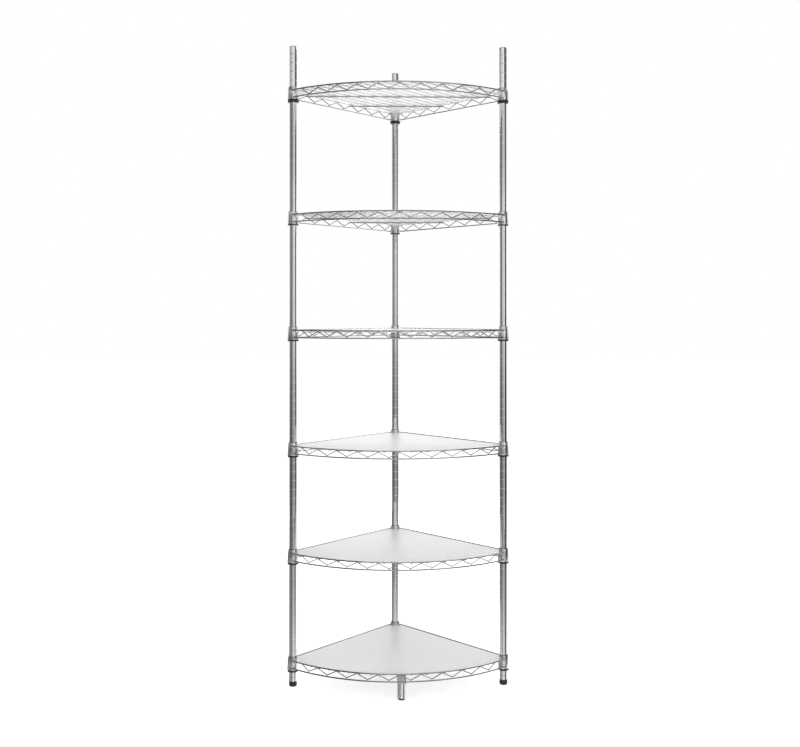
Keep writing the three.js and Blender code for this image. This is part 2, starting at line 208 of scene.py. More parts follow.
def add_bump(tree, shader, height, strength, distance):
    bump = tree.nodes.new("ShaderNodeBump")
    bump.inputs["Strength"].default_value = strength
    bump.inputs["Distance"].default_value = distance
    tree.links.new(height, bump.inputs["Height"])
    tree.links.new(bump.outputs["Normal"], shader.inputs["Normal"])


def chrome_plating(name, tint, roughness, ripple, ripple_cells=35, rim=1.0):
    """Bright chrome: nearly mirror-like, with duller patches and a ripple of the steel below.

    The rim is the level of what it mirrors where it is seen edge on.
    """
    material, tree, shader = new_material(name)
    shader.inputs["Metallic"].default_value = 1
    shader.inputs["Specular Tint"].default_value = (rim, rim, rim, 1)
    broad = object_noise(tree, ripple_cells)
    fine = object_noise(tree, BUFFING_CELLS, detail=3)
    dull = tuple(DULL_SHARE * channel for channel in tint)
    tree.links.new(ramp(tree, broad, dull, tint), shader.inputs["Base Color"])
    tree.links.new(ramp(tree, fine, *roughness), shader.inputs["Roughness"])
    add_bump(tree, shader, broad, ripple, RIPPLE_HEIGHT)
    return material


def black_plastic():
    material, tree, shader = new_material("satin_black_plastic")
    broad = object_noise(tree, cells=60)
    fine = object_noise(tree, cells=2600, detail=3)
    tree.links.new(ramp(tree, broad, low=0.011, high=0.02), shader.inputs["Base Color"])
    tree.links.new(ramp(tree, fine, low=0.36, high=0.5), shader.inputs["Roughness"])
    add_bump(tree, shader, fine, strength=0.25, distance=0.00015)
    return material


def liner_plastic():
    """Pale smooth sheet with a faint pebble and slight unevenness of tone."""
    material, tree, shader = new_material("pale_liner_plastic")
    broad = object_noise(tree, cells=9)
    fine = object_noise(tree, cells=1500)
    tone = ramp(tree, broad, low=(0.755, 0.757, 0.761), high=(0.78, 0.782, 0.786))
    tree.links.new(tone, shader.inputs["Base Color"])
    tree.links.new(ramp(tree, fine, low=0.34, high=0.46), shader.inputs["Roughness"])
    shader.inputs["Subsurface Weight"].default_value = 0.7
    shader.inputs["Subsurface Radius"].default_value = (1, 1, 1)
    shader.inputs["Subsurface Scale"].default_value = 0.004
    add_bump(tree, shader, fine, strength=0.12, distance=0.0001)
    return material


POST_CHROME = chrome_plating("post_chrome", (0.84, 0.845, 0.85), roughness=(0.03, 0.08), ripple=0.22)
LEG_CHROME = chrome_plating(
    "leg_chrome", (0.88, 0.885, 0.89), roughness=(0.05, 0.12), ripple=0.6, ripple_cells=70, rim=0.0,
)
# Same chrome as the posts, tinted darker: painted shade for the dark reflections on the rails.
SHADE_PAINTED_RAIL_CHROME = chrome_plating("rail_chrome_painted_shade", (0.56, 0.565, 0.57), roughness=(0.12, 0.22), ripple=0.25)
# Same chrome, tinted lighter: painted light for the pale reflections on the mat's wires.
LIGHT_PAINTED_MAT_CHROME = chrome_plating(
    "mat_chrome_painted_light", (0.94, 0.945, 0.95), roughness=(0.14, 0.24), ripple=0.5, ripple_cells=50,
)
# Same chrome, tinted darker still: painted shade for the dark reflections on the supports.
SHADE_PAINTED_SUPPORT_CHROME = chrome_plating(
    "support_chrome_painted_shade", (0.40, 0.403, 0.406), roughness=(0.12, 0.22), ripple=0.4, ripple_cells=50,
)
COLLAR_CHROME = chrome_plating(
    "collar_chrome", (0.90, 0.905, 0.91), roughness=(0.2, 0.34), ripple=1.0, ripple_cells=150,
)
BLACK_PLASTIC = black_plastic()
LINER_PLASTIC = liner_plastic()


# Making pieces. Their meshes are in millimetres, in the plan of the posts, until they are finished.


def finish_piece(name, bm, material, body, nodes):
    """Turns a mesh into a piece that rides on a body and stands for CAD nodes."""
    bmesh.ops.remove_doubles(bm, verts=bm.verts, dist=MERGE_DISTANCE)
    bmesh.ops.recalc_face_normals(bm, faces=bm.faces)
    bmesh.ops.translate(bm, vec=PLAN, verts=bm.verts)
    bmesh.ops.scale(bm, vec=(MM, MM, MM), verts=bm.verts)
    mesh = bpy.data.meshes.new(name)
    bm.to_mesh(mesh)
    bm.free()
    mesh.materials.append(material)
    mesh.shade_smooth()
    mesh.set_sharp_from_angle(angle=math.radians(SHARP_DEGREES))
    piece = bpy.data.objects.new(name, mesh)
    bpy.context.scene.collection.objects.link(piece)
    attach(piece, body)
    if nodes:
        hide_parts(*nodes)


def join(target, other, moves=((0, 0, 0),)):
    """Adds copies of another mesh, moved as given, to a target mesh."""
    for move in moves:
        mesh = bpy.data.meshes.new("copy")
        other.to_mesh(mesh)
        mesh.transform(Matrix.Translation(move))
        target.from_mesh(mesh)
        bpy.data.meshes.remove(mesh)
    return target


def turned(profile, centre=(0, 0, 0)):
    """Spins a profile of [radius, height] points about an upright axis.

    The profile closes on itself, or it starts and ends on the axis.
    """
    bm = bmesh.new()
    verts = [bm.verts.new((radius, 0, height)) for radius, height in profile]
    edges = [bm.edges.new(pair) for pair in zip(verts, verts[1:])]
    bmesh.ops.spin(
        bm, geom=verts + edges, cent=(0, 0, 0), axis=(0, 0, 1), angle=math.tau,
        steps=ROUND_STEPS, use_merge=True,
    )
    bmesh.ops.translate(bm, vec=centre, verts=bm.verts)
    bmesh.ops.remove_doubles(bm, verts=bm.verts, dist=MERGE_DISTANCE)
    return bm


def turned_halves(profile):
    """Two halves of a ring with a closed profile, parted by a narrow seam on either side."""
    halves = bmesh.new()
    for start in (0, math.pi):
        half = bmesh.new()
        verts = [half.verts.new((radius, 0, height)) for radius, height in profile]
        edges = [half.edges.new(pair) for pair in zip(verts, verts[1:] + verts[:1])]
        bmesh.ops.spin(
            half, geom=verts + edges, cent=(0, 0, 0), axis=(0, 0, 1), angle=math.pi - SEAM_ANGLE,
            steps=ROUND_STEPS // 2, use_merge=False,
        )
        bmesh.ops.holes_fill(half, edges=[edge for edge in half.edges if edge.is_boundary])
        turn = Matrix.Rotation(start + SEAM_ANGLE / 2, 3, "Z")
        bmesh.ops.rotate(half, verts=half.verts, cent=(0, 0, 0), matrix=turn)
        bmesh.ops.recalc_face_normals(half, faces=half.faces)
        join(halves, half)
        half.free()
    return halves


def elliptic_arc(centre, width, height, first, last, steps):
    """Points of an arc in a profile, between two angles in degrees."""
    angles = [math.radians(first + (last - first) * i / steps) for i in range(steps + 1)]
    return [(centre[0] + width * math.cos(a), centre[1] + height * math.sin(a)) for a in angles]


def rounded(points, radius):
    """Points along straight legs whose corners are turned into arcs."""
    path = [Vector(points[0])]
    for before, corner, after in zip(points, points[1:], points[2:]):
        back = (Vector(before) - corner).normalized()
        ahead = (Vector(after) - corner).normalized()
        half = back.angle(ahead) / 2
        reach = radius / math.tan(half)
        centre = Vector(corner) + (back + ahead).normalized() * radius / math.sin(half)
        first = Vector(corner) + back * reach - centre
        last = Vector(corner) + ahead * reach - centre
        path += [centre + first.slerp(last, i / BEND_STEPS) for i in range(BEND_STEPS + 1)]
    path.append(Vector(points[-1]))
    return path


def verts_of(geometry):
    """The vertices in what an extrusion returns."""
    return [item for item in geometry if isinstance(item, bmesh.types.BMVert)]


def thickened(bm, face, offset, ease):
    """Gives a flat face its thickness along an offset, and eases the edges of both faces."""
    lifted = bmesh.ops.extrude_face_region(bm, geom=[face])["geom"]
    bmesh.ops.translate(bm, vec=offset, verts=verts_of(lifted))
    bmesh.ops.recalc_face_normals(bm, faces=bm.faces)
    through = offset.normalized()
    rims = []
    for edge in bm.edges:
        start, end = (vert.co for vert in edge.verts)
        if abs((end - start).dot(through)) < LEVEL_DISTANCE:
            rims.append(edge)
    bmesh.ops.bevel(
        bm, geom=rims, offset=ease, offset_type="OFFSET", segments=2, profile=0.5,
        affect="EDGES", material=-1,
    )
    bmesh.ops.triangulate(bm, faces=[side for side in bm.faces if len(side.verts) > 4])
    return bm


def round_wires(wires):
    """A mesh of round bars. Each wire is a list of points and a radius."""
    curve = bpy.data.curves.new("bars", "CURVE")
    curve.dimensions = "3D"
    curve.bevel_depth = 1
    curve.bevel_resolution = WIRE_RESOLUTION
    curve.use_fill_caps = True
    for points, radius in wires:
        spline = curve.splines.new("POLY")
        spline.points.add(len(points) - 1)
        for target, place in zip(spline.points, points):
            target.co = (*place, 1)
            target.radius = radius
    bars = bpy.data.objects.new("bars", curve)
    bpy.context.scene.collection.objects.link(bars)
    shaped = bars.evaluated_get(bpy.context.evaluated_depsgraph_get())
    mesh = bpy.data.meshes.new_from_object(shaped)
    bm = bmesh.new()
    bm.from_mesh(mesh)
    bmesh.ops.remove_doubles(bm, verts=bm.verts, dist=MERGE_DISTANCE)
    bmesh.ops.recalc_face_normals(bm, faces=bm.faces)
    bpy.data.objects.remove(bars)
    bpy.data.curves.remove(curve)
    bpy.data.meshes.remove(mesh)
    return bm


# Posts, with their caps and feet.


def groove_profile(height):
    """A ring groove with soft rims, from its lower side to its upper one."""
    lower, upper = (
        [(POST_RADIUS - depth, height + side * share * GROOVE_HALF_WIDTH) for depth, share in GROOVE_WALL]
        for side in (-1, 1)
    )
    return lower + upper[::-1]


def section_profile(low, high, has_insert):
    """Post section with ring grooves and rolled ends. An insert in its foot takes a stem."""
    bore = POST_RADIUS - POST_WALL
    stem_bore = STEM_RADIUS + JOINT_GAP
    if has_insert:
        points = [(stem_bore, low), (bore, low)]
    else:
        points = [(bore, low + TUBE_EASE), (bore + TUBE_EASE, low)]
    plain_low, plain_high = low + 2 * TUBE_EASE, high - 2 * TUBE_EASE
    points += [(POST_RADIUS - TUBE_EASE, low), (POST_RADIUS, low + TUBE_EASE), (POST_RADIUS, plain_low)]
    height = low + GROOVE_START
    while height < plain_high - GROOVE_HALF_WIDTH:
        points += groove_profile(height)
        height += GROOVE_PITCH
    points += [
        (POST_RADIUS, plain_high), (POST_RADIUS, high - TUBE_EASE), (POST_RADIUS - TUBE_EASE, high),
        (bore + TUBE_EASE, high), (bore, high - TUBE_EASE),
    ]
    if has_insert:
        points += [(bore, low + INSERT_LENGTH), (stem_bore, low + INSERT_LENGTH)]
    return [*points, points[0]]


def cap_profile(low):
    """Domed chrome cap on the end of a post, with its plug inside the tube."""
    plug = POST_RADIUS - POST_WALL - JOINT_GAP
    foot = low - CAP_PLUG_LENGTH
    dome = elliptic_arc((0, low + CAP_RIM), POST_RADIUS, CAP_RISE, 0, 90, DOME_STEPS)
    return [
        (0, foot), (plug - CAP_PLUG_EASE, foot), (plug, foot + CAP_PLUG_EASE), (plug, low + JOINT_GAP),
        (POST_RADIUS - CAP_UNDERCUT, low + JOINT_GAP), *dome[:-1], (0, low + CAP_RIM + CAP_RISE),
    ]


def foot_profile(radius, height, ease):
    """Levelling foot: a pad rounded off at the floor, and a stem in the tube above."""
    sole = elliptic_arc((radius - ease, ease), ease, ease, -90, 0, SOLE_STEPS)
    top = height + STEM_LENGTH
    return [
        (0, 0), *sole, (radius, height - PAD_TOP_EASE), (radius - PAD_TOP_EASE, height),
        (STEM_RADIUS, height), (STEM_RADIUS, top - STEM_EASE), (STEM_RADIUS - STEM_EASE, top), (0, top),
    ]


def make_post(name, centre):
    for number in range(1, POST_SECTIONS + 1):
        node = f"post_{name}_section_{number}"
        low, high = (corner.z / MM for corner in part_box(node))
        section = turned(section_profile(low, high, has_insert=number == 1), centre)
        finish_piece(f"{node}_tube", section, POST_CHROME, BODY, [node])
    node = f"post_cap_{name}"
    tube_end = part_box(node)[0].z / MM + CAP_PLUG_LENGTH
    crown = turned(cap_profile(tube_end), centre)
    finish_piece(f"{node}_crown", crown, POST_CHROME, BODY, [node])
    node = f"levelling_foot_{name}"
    foot = turned(foot_profile(FOOT_RADIUS, FOOT_HEIGHT, SOLE_EASE), centre)
    finish_piece(f"{node}_pad", foot, BLACK_PLASTIC, f"foot_{name}", [node])


for name, centre in POSTS.items():
    make_post(name, centre)


# Wire shelves.


def bow_point(angle, height, radius=BOW_RADIUS):
    return Vector((radius * math.sin(angle), BOW_CENTRE_Y - radius * math.cos(angle), height))


def snake(bends, point):
    """A zigzag wire between the rails. point() gives a place from a bend's number and height."""
    top = TOP_RAIL + SNAKE_OVERLAP + BEND_PEAK
    bottom = BOTTOM_RAIL - SNAKE_OVERLAP - BEND_PEAK
    corners = [point(i, top if i % 2 == 0 else bottom) for i in range(bends)]
    return rounded(corners, BEND_RADIUS)


def bow_truss():
    """Wires of the bowed front, and the places of their weld beads."""
    wires = []
    for height, radius in ((TOP_RAIL, TOP_RAIL_RADIUS), (BOTTOM_RAIL, BOTTOM_RAIL_RADIUS)):
        angles = [BOW_HALF_ANGLE * (2 * i / BOW_STEPS - 1) for i in range(BOW_STEPS + 1)]
        wires.append(([bow_point(angle, height) for angle in angles], radius))

    def bend(i, height, setback=SNAKE_SETBACK):
        return bow_point((i - BOW_WAVES) * BOW_HALF_PITCH, height, BOW_RADIUS - setback)

    bends = 2 * BOW_WAVES + 1
    wires.append((snake(bends, bend), SNAKE_RADIUS))
    beads = [bend(i, TOP_RAIL if i % 2 == 0 else BOTTOM_RAIL, BEAD_SETBACK) for i in range(bends)]
    return wires, beads


def side_truss(side):
    """Wires of a straight side along a wall, and the places of their weld beads."""
    along = Vector((side, -1, 0)).normalized()
    outwards = Vector((side, 1, 0)).normalized()
    pitch = (POST_SPACING - SIDE_SNAKE_START) / (2 * SIDE_WAVES)

    def point(distance, height, setback=0.0):
        level = Vector((0, 0, height))
        return POSTS["back"] + along * distance + outwards * (RAIL_OFFSET - setback) + level

    def bend(i, height, setback=SNAKE_SETBACK):
        return point(SIDE_SNAKE_START + i * pitch, height, setback)

    wires = []
    for height, radius in ((TOP_RAIL, TOP_RAIL_RADIUS), (BOTTOM_RAIL, BOTTOM_RAIL_RADIUS)):
        wires.append(([point(0, height), point(POST_SPACING, height)], radius))
    bends = 2 * SIDE_WAVES + 1
    wires.append((snake(bends, bend), SNAKE_RADIUS))
    beads = [bend(i, TOP_RAIL if i % 2 == 0 else BOTTOM_RAIL, BEAD_SETBACK) for i in range(bends)]
    return wires, beads


def truss_wires():
    """The bowed front truss and the two straight ones, and the places of their weld beads."""
    wires, beads = bow_truss()
    for side in (-1, 1):
        more_wires, more_beads = side_truss(side)
        wires += more_wires
        beads += more_beads
    return wires, beads


def mat_wires():
    """The mat under the liner, parallel to the left side, and the places of its weld beads."""
    wires, beads = [], []
    along = Vector((1, 1, 0)).normalized()
    across = Vector((1, -1, 0)).normalized()
    count = int((POST_SPACING - 2 * MAT_EDGE) / MAT_PITCH) + 1
    for i in range(count):
        start = POSTS["left"] + across * (MAT_EDGE + i * MAT_PITCH) + Vector((0, 0, MAT_HEIGHT))
        from_centre = Vector((start.x, start.y - BOW_CENTRE_Y))
        reach = from_centre.dot(along.xy)
        to_bow = -reach - math.sqrt(reach**2 - from_centre.length_squared + BOW_RADIUS**2)
        front = start + along * to_bow
        back = start + along * (POST_SPACING + RAIL_OFFSET)
        wires.append(([front, back], MAT_RADIUS))
        beads += [front, back]
        for line in SUPPORT_LINES:
            crossing = start + along * ((line - start.y) / along.y)
            if front.y < line < back.y:
                beads.append(Vector((crossing.x, crossing.y, MAT_HEIGHT - MAT_RADIUS)))
    return wires, beads


def support_wires():
    """Two wires across the shelf, welded to the mat above them."""
    wires = []
    height = MAT_HEIGHT - MAT_RADIUS - SUPPORT_RADIUS + SUPPORT_WELD
    for line in SUPPORT_LINES:
        end = HALF_CHORD + RAIL_OFFSET * math.sqrt(2) - line
        wires.append(([Vector((-end, line, height)), Vector((end, line, height))], SUPPORT_RADIUS))
    return wires


def welded(wires, places):
    """Round wires with small weld beads, one for each place."""
    bead = bmesh.new()
    bmesh.ops.create_icosphere(bead, subdivisions=1, radius=BEAD_RADIUS)
    mesh = join(round_wires(wires), bead, places)
    bead.free()
    return mesh


def collar_profile(skirt):
    """Tapered collar of sheet steel with rolled rims."""
    low, top = -skirt, COLLAR_HEIGHT
    roll = 0.6 * COLLAR_LIP
    outer_low, outer_high = COLLAR_BOTTOM_RADIUS, COLLAR_TOP_RADIUS
    inner_low, inner_high = outer_low - COLLAR_WALL, outer_high - COLLAR_WALL
    return [
        (inner_low, low + COLLAR_LIP), (inner_low + roll, low), (outer_low - roll, low),
        (outer_low, low + COLLAR_LIP), (outer_high, top - COLLAR_LIP), (outer_high - roll, top),
        (inner_high + roll, top), (inner_high, top - COLLAR_LIP), (inner_low, low + COLLAR_LIP),
    ]


def sleeve_profile(shown, skirt):
    """Split sleeve: its cone fills the collar and its ring shows below the collar's edge."""
    bore = POST_RADIUS + JOINT_GAP
    ring = COLLAR_BOTTOM_RADIUS - RING_INSET
    cone = COLLAR_BOTTOM_RADIUS - COLLAR_WALL - SLEEVE_CLEARANCE
    tip = COLLAR_TOP_RADIUS - COLLAR_WALL - SLEEVE_CLEARANCE
    low = -shown
    edge = -skirt - SLEEVE_CLEARANCE
    top = COLLAR_HEIGHT + SLEEVE_RISE
    return [
        (bore, low + SLEEVE_EASE), (bore + SLEEVE_EASE, low),
        (ring - RING_EASE, low), (ring, low + RING_EASE),
        (ring, edge - RING_TOP_EASE), (ring - RING_TOP_EASE, edge), (cone, edge),
        (tip, top - SLEEVE_EASE), (tip - SLEEVE_EASE, top),
        (bore + SLEEVE_EASE, top), (bore, top - SLEEVE_EASE),
    ]


def arc_in_plan(centre, radius, first, last, steps):
    angles = [first + (last - first) * i / steps for i in range(steps + 1)]
    return [(centre.x + radius * math.cos(a), centre.y + radius * math.sin(a)) for a in angles]


def liner_sheet():
    """Flat sheet that fits between the rails, notched round the collars, its edges eased."""
    radius = BOW_RADIUS * math.cos(BOW_HALF_PITCH) - TOP_RAIL_RADIUS - LINER_CLEARANCE
    notch = COLLAR_BOTTOM_RADIUS + LINER_CLEARANCE
    edge = math.asin((RAIL_OFFSET - TOP_RAIL_RADIUS - LINER_CLEARANCE) / notch)
    reach = BOW_RADIUS - RAIL_OFFSET
    bow_end = BOW_HALF_ANGLE - math.acos((radius**2 + reach**2 - notch**2) / (2 * radius * reach))
    corner = bow_point(bow_end, 0, radius)
    bow_edge = math.atan2(corner.y - POSTS["right"].y, corner.x - POSTS["right"].x)
    side_edge = 3 * math.pi / 4 - edge
    back_edge = edge - math.pi / 4
    quarter = math.pi / 2
    front = Vector((0, BOW_CENTRE_Y))
    outline = arc_in_plan(front, radius, -quarter - bow_end, bow_end - quarter, LINER_BOW_STEPS)
    outline += arc_in_plan(POSTS["right"], notch, bow_edge + math.tau, side_edge, SIDE_NOTCH_STEPS)[1:]
    outline += arc_in_plan(POSTS["back"], notch, back_edge, -math.pi - back_edge, BACK_NOTCH_STEPS)
    outline += arc_in_plan(
        POSTS["left"], notch, math.pi - side_edge, -math.pi - bow_edge, SIDE_NOTCH_STEPS,
    )[:-1]
    bm = bmesh.new()
    face = bm.faces.new([bm.verts.new((x, y, 0)) for x, y in outline])
    return thickened(bm, face, Vector((0, 0, LINER_THICKNESS)), LINER_EASE)


def collar_level(number):
    """Height of the lower edge of a shelf's collars in the solids."""
    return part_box(f"sleeve_left_{number}")[0].z / MM + SLEEVE_RING


def make_shelf(number, shapes, shown, skirt):
    lift = Vector((0, 0, collar_level(number)))
    node = f"wire_shelf_{number}"
    collars = join(bmesh.new(), turned(collar_profile(skirt)), POSTS.values())
    # The tints of the rails' and supports' chrome hold painted shade, and the mat's tint holds painted
    # light.
    parts = (
        ("trusses", shapes["trusses"], SHADE_PAINTED_RAIL_CHROME, [node]),
        ("mat", shapes["mat"], LIGHT_PAINTED_MAT_CHROME, []),
        ("supports", shapes["supports"], SHADE_PAINTED_SUPPORT_CHROME, []),
        ("collars", collars, COLLAR_CHROME, []),
    )
    for part, shape, finish, replaced in parts:
        finish_piece(f"{node}_{part}", join(bmesh.new(), shape, [lift]), finish, BODY, replaced)
    node = f"shelf_liner_{number}"
    sheet = join(bmesh.new(), shapes["liner"], [Vector((0, 0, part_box(node)[0].z / MM))])
    finish_piece(f"{node}_sheet", sheet, LINER_PLASTIC, BODY, [node])
    sleeve = turned_halves(sleeve_profile(shown, skirt))
    for name, centre in POSTS.items():
        node = f"sleeve_{name}_{number}"
        halves = join(bmesh.new(), sleeve, [centre + lift])
        finish_piece(f"{node}_halves", halves, BLACK_PLASTIC, BODY, [node])


shelf_shapes = {
    "trusses": welded(*truss_wires()),
    "mat": welded(*mat_wires()),
    "supports": round_wires(support_wires()),
    "liner": liner_sheet(),
}
for number, (shown, skirt) in enumerate(zip(RINGS_SHOWN, COLLAR_SKIRTS), 1):
    make_shelf(number, shelf_shapes, shown, skirt)


# Front leg. Its own axis is at (0, 0) until it is put in its place.


def leg_profile(low, high):
    """Tube that flares a little towards its foot, with the stem's insert in its lower end."""
    bore = LEG_NECK_RADIUS - POST_WALL
    stem_bore = STEM_RADIUS + JOINT_GAP
    neck = low + LEG_FLARE_LENGTH
    return [
        (stem_bore, low), (LEG_RADIUS - LEG_EASE, low), (LEG_RADIUS, low + LEG_EASE),
        (LEG_RADIUS, low + LEG_RIM), (LEG_NECK_RADIUS + LEG_RUNOUT, neck),
        (LEG_NECK_RADIUS, neck + LEG_RIM), (LEG_NECK_RADIUS, high), (bore, high),
        (bore, low + INSERT_LENGTH), (stem_bore, low + INSERT_LENGTH), (stem_bore, low),
    ]


def bent_strip(line):
    """The bracket's strip of sheet, bent along a line in the (y, z) plane."""
    bm = bmesh.new()
    below, above = [], []
    edge = Vector((BRACKET_WIDTH / 2, 0, 0))
    for before, here, after in zip([line[0], *line], line, [*line[1:], line[-1]]):
        ahead = (after - before).normalized()
        normal = Vector((0, -ahead.z, ahead.y)) * BRACKET_THICKNESS / 2
        below.append(bm.verts.new(here - normal - edge))
        above.append(bm.verts.new(here + normal - edge))
    side = bm.faces.new(below + above[::-1])
    return thickened(bm, side, Vector((BRACKET_WIDTH, 0, 0)), BRACKET_EASE)


def bracket_line(flange_top):
    """Middle line of the bracket's sheet: a lip under the bottom rail, a plate behind and a flange."""
    half_sheet = BRACKET_THICKNESS / 2
    lip_height = collar_level(1) + BOTTOM_RAIL - BOTTOM_RAIL_RADIUS - JOINT_GAP - half_sheet
    plate = BRACKET_WELD - LEG_RADIUS - half_sheet
    lip_end = plate - half_sheet - JOINT_GAP - 2 * BOTTOM_RAIL_RADIUS
    flange = flange_top - half_sheet
    corners = [(lip_end, lip_height), (plate, lip_height), (plate, flange), (LEG_RADIUS, flange)]
    return rounded([Vector((0, y, z)) for y, z in corners], BRACKET_BEND)


def make_front_leg():
    low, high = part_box("front_leg_glide")
    axis = Vector(((low.x + high.x) / 2 / MM, (low.y + high.y) / 2 / MM, 0)) - PLAN
    glide = turned(foot_profile(GLIDE_RADIUS, GLIDE_HEIGHT, GLIDE_SOLE_EASE), axis)
    finish_piece(
        "front_leg_glide_pad", glide, BLACK_PLASTIC, "foot_front", ["front_leg_glide"],
    )
    tube_low, flange_top = (corner.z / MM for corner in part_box("front_leg"))
    leg = bent_strip(bracket_line(flange_top))
    join(leg, turned(leg_profile(tube_low, flange_top - BRACKET_THICKNESS / 2)))
    bmesh.ops.translate(leg, vec=axis, verts=leg.verts)
    finish_piece("front_leg_tube_and_bracket", leg, LEG_CHROME, BODY, ["front_leg"])


make_front_leg()

# The joint plugs inside the posts keep their own shapes.
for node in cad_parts.values():
    if not node.hide_render:
        node.data.materials.clear()
        node.data.materials.append(POST_CHROME)


# Studio: a pale floor, soft lamps and cards that only the reflections show. Sizes are in metres.
FLOOR_SIZE = 40
FLOOR_GLOW = 0.52
WORLD_LIGHT = 0.86
CARD_RADIUS = 2.0
CARD_STEPS = 96
WALL_TOP = 2.45
UPPER_FOOT = 2.08
LOWER_TOP = 0.05
WALL_FOOT = -0.85
DISC_MIDDLE_SHARE = 0.4
DISC_MIDDLE_LEVEL = 0.45

# Levels of the reflected cards, by degrees from the front towards the right.
LOWER_LEVELS = (
    (-180, 1.60), (-170, 0.60), (-158, 0.18), (-130, 0.15), (-105, 0.14), (-92, 0.18), (-78, 0.20),
    (-62, 0.26), (-48, 0.16), (-36, 0.14), (-24, 0.30), (-12, 0.40), (-2, 0.34), (8, 0.56), (16, 0.50),
    (28, 0.56), (38, 0.32), (50, 0.12), (58, 0.0), (68, 0.04), (78, 0.34), (92, 0.42), (108, 0.55),
    (135, 1.1), (155, 1.30), (180, 1.60),
)
WALL_LEVELS = (
    (-180, 2.00), (-168, 1.60), (-152, 0.78), (-122, 0.62), (-105, 0.36), (-92, 0.20), (-78, 0.18),
    (-62, 0.28), (-48, 0.12), (-36, 0.12), (-24, 0.38), (-12, 0.58), (-2, 0.56), (8, 0.72), (14, 0.38),
    (20, 0.40), (26, 0.85), (33, 1.20), (40, 0.95), (47, 0.24), (54, 0.04), (60, 0.0), (78, 0.0),
    (86, 0.20), (92, 0.85), (100, 0.60), (110, 0.52), (135, 1.0), (155, 1.10), (168, 1.60), (180, 2.00),
)
UPPER_LEVELS = (
    (-180, 1.50), (-140, 0.50), (-110, 0.32), (-90, 0.45), (-60, 0.62), (-25, 0.74), (0, 0.95),
    (15, 1.05), (28, 0.85), (42, 0.18), (70, 0.10), (100, 0.15), (130, 0.60), (180, 1.50),
)
CEILING_LEVELS = (
    (-180, 0.7), (-155, 0.16), (-120, 0.08), (-60, 0.12), (-35, 0.20), (-20, 0.75), (20, 0.75),
    (35, 0.20), (60, 0.14), (100, 0.90), (130, 1.8), (165, 1.5), (180, 0.7),
)
GROUND_LEVELS = (
    (-180, 1.6), (-150, 0.70), (-120, 0.35), (-60, 0.16), (-35, 0.18), (-20, 0.65), (20, 0.65),
    (35, 0.18), (60, 0.20), (90, 1.2), (135, 1.9), (180, 1.8),
)

# What the walls' levels are multiplied by, at heights in metres.
HEIGHT_SHARES = (
    (-0.8, 1.9), (-0.5, 1.5), (-0.3, 1.08), (-0.05, 0.84), (0.2, 0.56), (0.45, 0.62), (0.75, 0.80),
    (0.92, 1.04), (1.15, 1.2), (1.6, 1.25), (1.8, 0.95), (2.1, 1.0),
)


def seen_directly(tree):
    """1 for what the camera sees straight on, in a mirror or through glass, and 0 otherwise."""
    paths = tree.nodes.new("ShaderNodeLightPath")
    shown = paths.outputs["Is Camera Ray"]
    for other in ("Is Glossy Ray", "Is Transmission Ray"):
        either = tree.nodes.new("ShaderNodeMath")
        either.operation = "MAXIMUM"
        tree.links.new(shown, either.inputs[0])
        tree.links.new(paths.outputs[other], either.inputs[1])
        shown = either.outputs["Value"]
    return shown


def floor_material():
    """Pale matt floor, which the camera sees as white away from the shadows."""
    material, tree, shader = new_material("studio_floor")
    shader.inputs["Base Color"].default_value = (0.9, 0.9, 0.9, 1)
    shader.inputs["Roughness"].default_value = 0.9
    shader.inputs["Specular IOR Level"].default_value = 0
    shader.inputs["Emission Color"].default_value = (FLOOR_GLOW, FLOOR_GLOW, FLOOR_GLOW, 1)
    tree.links.new(seen_directly(tree), shader.inputs["Emission Strength"])
    return material


def stage_object(name, bm, material):
    mesh = bpy.data.meshes.new(name)
    bm.to_mesh(mesh)
    bm.free()
    mesh.materials.append(material)
    thing = bpy.data.objects.new(name, mesh)
    bpy.context.scene.collection.objects.link(thing)
    return thing


def make_floor():
    grid = bmesh.new()
    bmesh.ops.create_grid(grid, x_segments=1, y_segments=1, size=FLOOR_SIZE / 2)
    floor = stage_object("studio_floor", grid, floor_material())
    floor.visible_glossy = False


def level_nodes(tree, factor, levels):
    """Grey levels at places from 0 to 1 along a factor."""
    node = tree.nodes.new("ShaderNodeValToRGB")
    elements = node.color_ramp.elements
    for i, (at, level) in enumerate(levels):
        element = elements[i] if i < 2 else elements.new(at)
        element.position = at
        element.color = (level, level, level, 1)
    tree.links.new(factor, node.inputs["Fac"])
    return node.outputs["Color"]


def glow_material(name):
    """A material that only glows, its tree, its emission node and the object's coordinates."""
    material = bpy.data.materials.new(name)
    material.use_nodes = True
    tree = material.node_tree
    tree.nodes.clear()
    glow = tree.nodes.new("ShaderNodeEmission")
    output = tree.nodes.new("ShaderNodeOutputMaterial")
    tree.links.new(glow.outputs["Emission"], output.inputs["Surface"])
    place = tree.nodes.new("ShaderNodeTexCoord")
    return material, tree, glow, place.outputs["Object"]


def panels(tree, place, levels):
    """Levels set by the angle round the unit's axis."""
    axes = tree.nodes.new("ShaderNodeSeparateXYZ")
    front = tree.nodes.new("ShaderNodeMath")
    front.operation = "MULTIPLY"
    front.inputs[1].default_value = -1
    angle = tree.nodes.new("ShaderNodeMath")
    angle.operation = "ARCTAN2"
    share = tree.nodes.new("ShaderNodeMapRange")
    share.inputs["From Min"].default_value = -math.pi
    share.inputs["From Max"].default_value = math.pi
    tree.links.new(place, axes.inputs["Vector"])
    tree.links.new(axes.outputs["Y"], front.inputs[0])
    tree.links.new(axes.outputs["X"], angle.inputs[0])
    tree.links.new(front.outputs["Value"], angle.inputs[1])
    tree.links.new(angle.outputs["Value"], share.inputs["Value"])
    places = [((degrees + 180) / 360, level) for degrees, level in levels]
    return level_nodes(tree, share.outputs["Result"], places)


